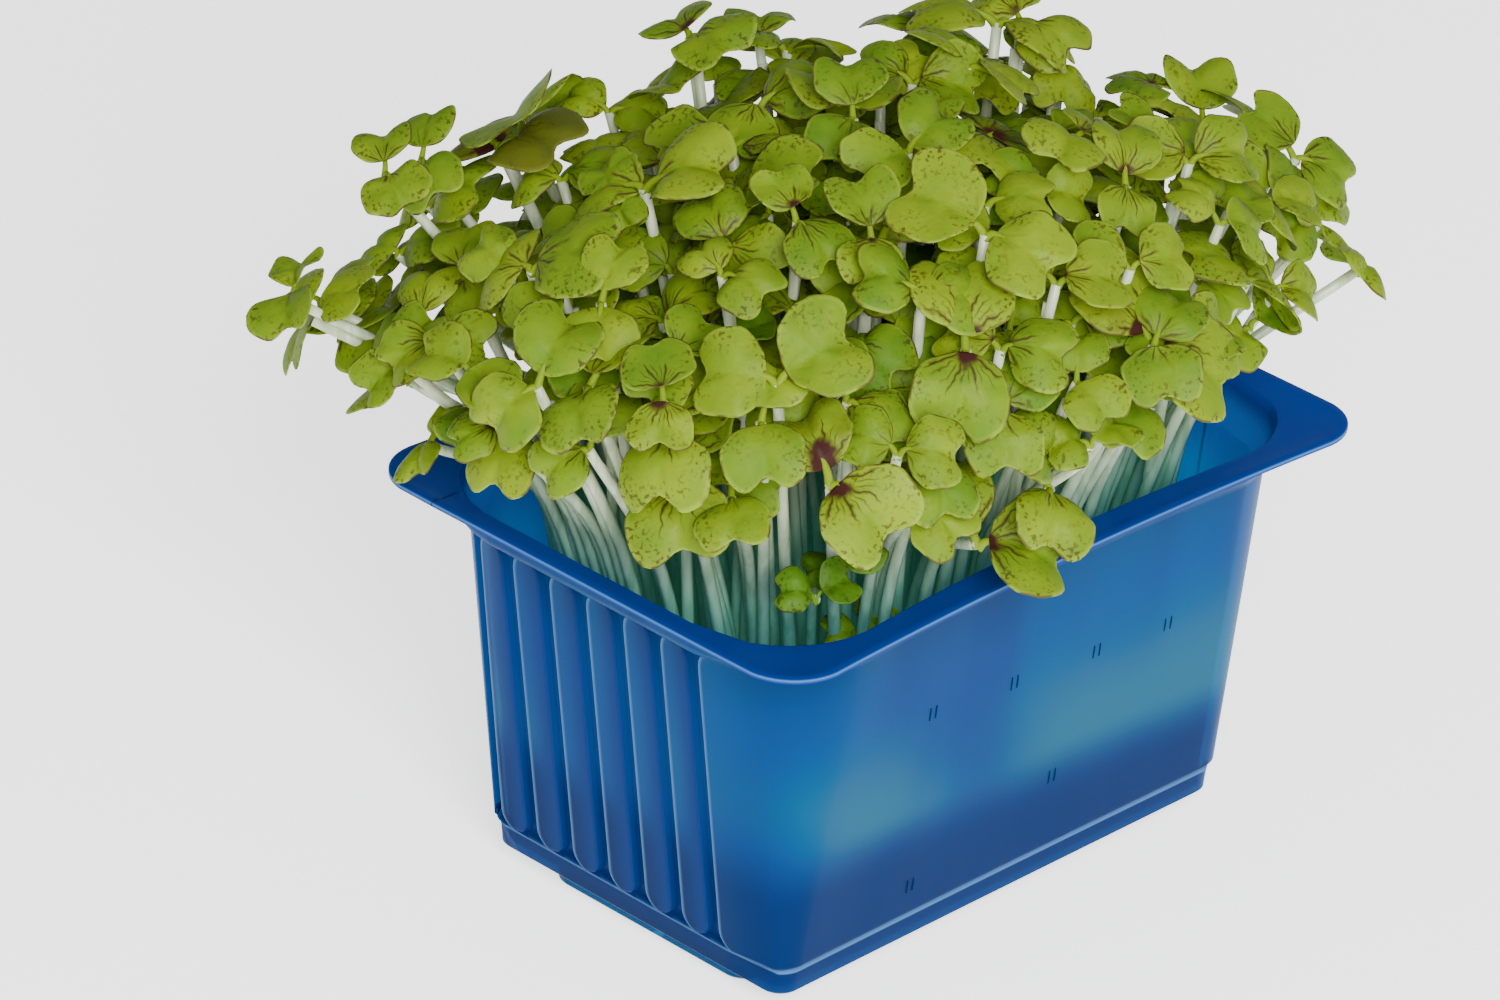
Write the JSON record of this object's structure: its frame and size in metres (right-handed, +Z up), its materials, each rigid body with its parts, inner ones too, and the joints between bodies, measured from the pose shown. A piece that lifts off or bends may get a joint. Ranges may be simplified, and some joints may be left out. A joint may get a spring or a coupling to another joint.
{
  "type": "tray of microgreens",
  "caption": "A translucent blue plastic punnet of young cress seedlings: a dark growing mat, pale stems and a dense top of heart-shaped yellow-green leaves with purple veins",
  "frame": {"origin": "middle of the tray's foot, on the surface it stands on", "axes": "+Z up; X along the tray's long axis, with the fluted short sides facing -X and +X; Y across it"},
  "size_m": [0.1474, 0.1237, 0.125],
  "materials": {
    "blue_plastic": "translucent, smooth, slightly glossy",
    "peat": "fibrous, damp, matte",
    "stem": "pale living stem, slightly translucent",
    "leaf": "living leaf, satin, purple veins and speckled rims"
  },
  "bodies": {
    "root": {"tray": "blue_plastic", "growing_mat": "peat", "seedlings": "stem", "leaf_pair_01": "leaf", "leaf_pair_02": "leaf", "leaf_pair_03": "leaf", "leaf_pair_04": "leaf", "leaf_pair_05": "leaf", "leaf_pair_06": "leaf", "leaf_pair_07": "leaf", "leaf_pair_08": "leaf", "leaf_pair_09": "leaf", "leaf_pair_10": "leaf", "leaf_pair_11": "leaf", "leaf_pair_12": "leaf", "leaf_pair_13": "leaf", "leaf_pair_14": "leaf", "leaf_pair_15": "leaf", "leaf_pair_16": "leaf", "leaf_pair_17": "leaf", "leaf_pair_18": "leaf", "leaf_pair_19": "leaf", "leaf_pair_20": "leaf", "leaf_pair_21": "leaf", "leaf_pair_22": "leaf", "leaf_pair_23": "leaf", "leaf_pair_24": "leaf", "leaf_pair_25": "leaf", "leaf_pair_26": "leaf", "leaf_pair_27": "leaf", "leaf_pair_28": "leaf", "leaf_pair_29": "leaf", "leaf_pair_30": "leaf", "leaf_pair_31": "leaf", "leaf_pair_32": "leaf", "leaf_pair_33": "leaf", "leaf_pair_34": "leaf", "leaf_pair_35": "leaf", "leaf_pair_36": "leaf", "leaf_pair_37": "leaf", "leaf_pair_38": "leaf", "leaf_pair_39": "leaf", "leaf_pair_40": "leaf", "leaf_pair_41": "leaf", "leaf_pair_42": "leaf", "leaf_pair_43": "leaf", "leaf_pair_44": "leaf", "leaf_pair_45": "leaf", "leaf_pair_46": "leaf", "leaf_pair_47": "leaf", "leaf_pair_48": "leaf", "leaf_pair_49": "leaf", "leaf_pair_50": "leaf", "leaf_pair_51": "leaf", "leaf_pair_52": "leaf", "leaf_pair_53": "leaf", "leaf_pair_54": "leaf", "leaf_pair_55": "leaf", "leaf_pair_56": "leaf"}
  },
  "joints": []
}
